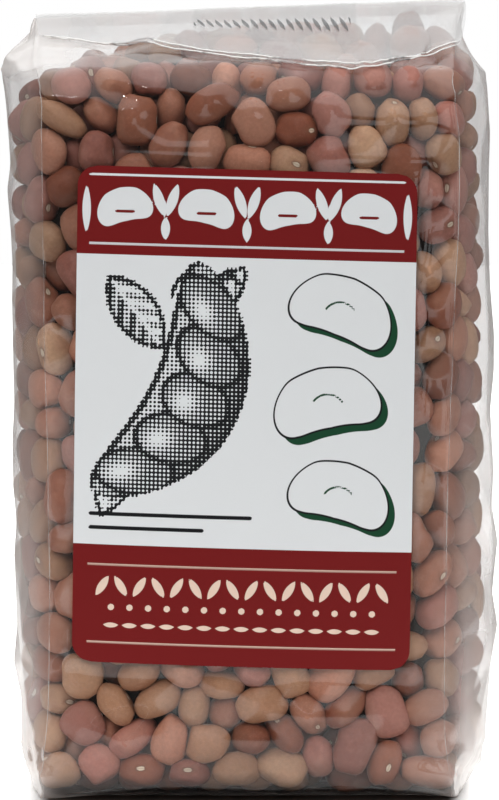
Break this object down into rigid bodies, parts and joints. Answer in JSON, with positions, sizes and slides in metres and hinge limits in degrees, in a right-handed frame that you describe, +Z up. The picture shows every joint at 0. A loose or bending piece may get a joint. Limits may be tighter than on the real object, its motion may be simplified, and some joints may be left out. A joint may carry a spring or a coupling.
{
  "type": "bag of dried beans",
  "caption": "Upright clear film bag filled with small dried beans, block bottom, top folded forward into a flap held by a clear strip, large label on the front.",
  "frame": {"origin": "on the floor under the middle of the bag's box", "axes": "+Z up, the labelled front faces -Y, +X to the right as seen from the front"},
  "size_m": [0.096, 0.0524, 0.1526],
  "materials": {
    "beans": "dried beans seen through clear film",
    "label_paper": "printed, satin",
    "clear_film": "clear glossy film"
  },
  "bodies": {
    "root": {"bag": "beans", "label_front": "label_paper", "seal_strip": "clear_film"}
  },
  "joints": []
}
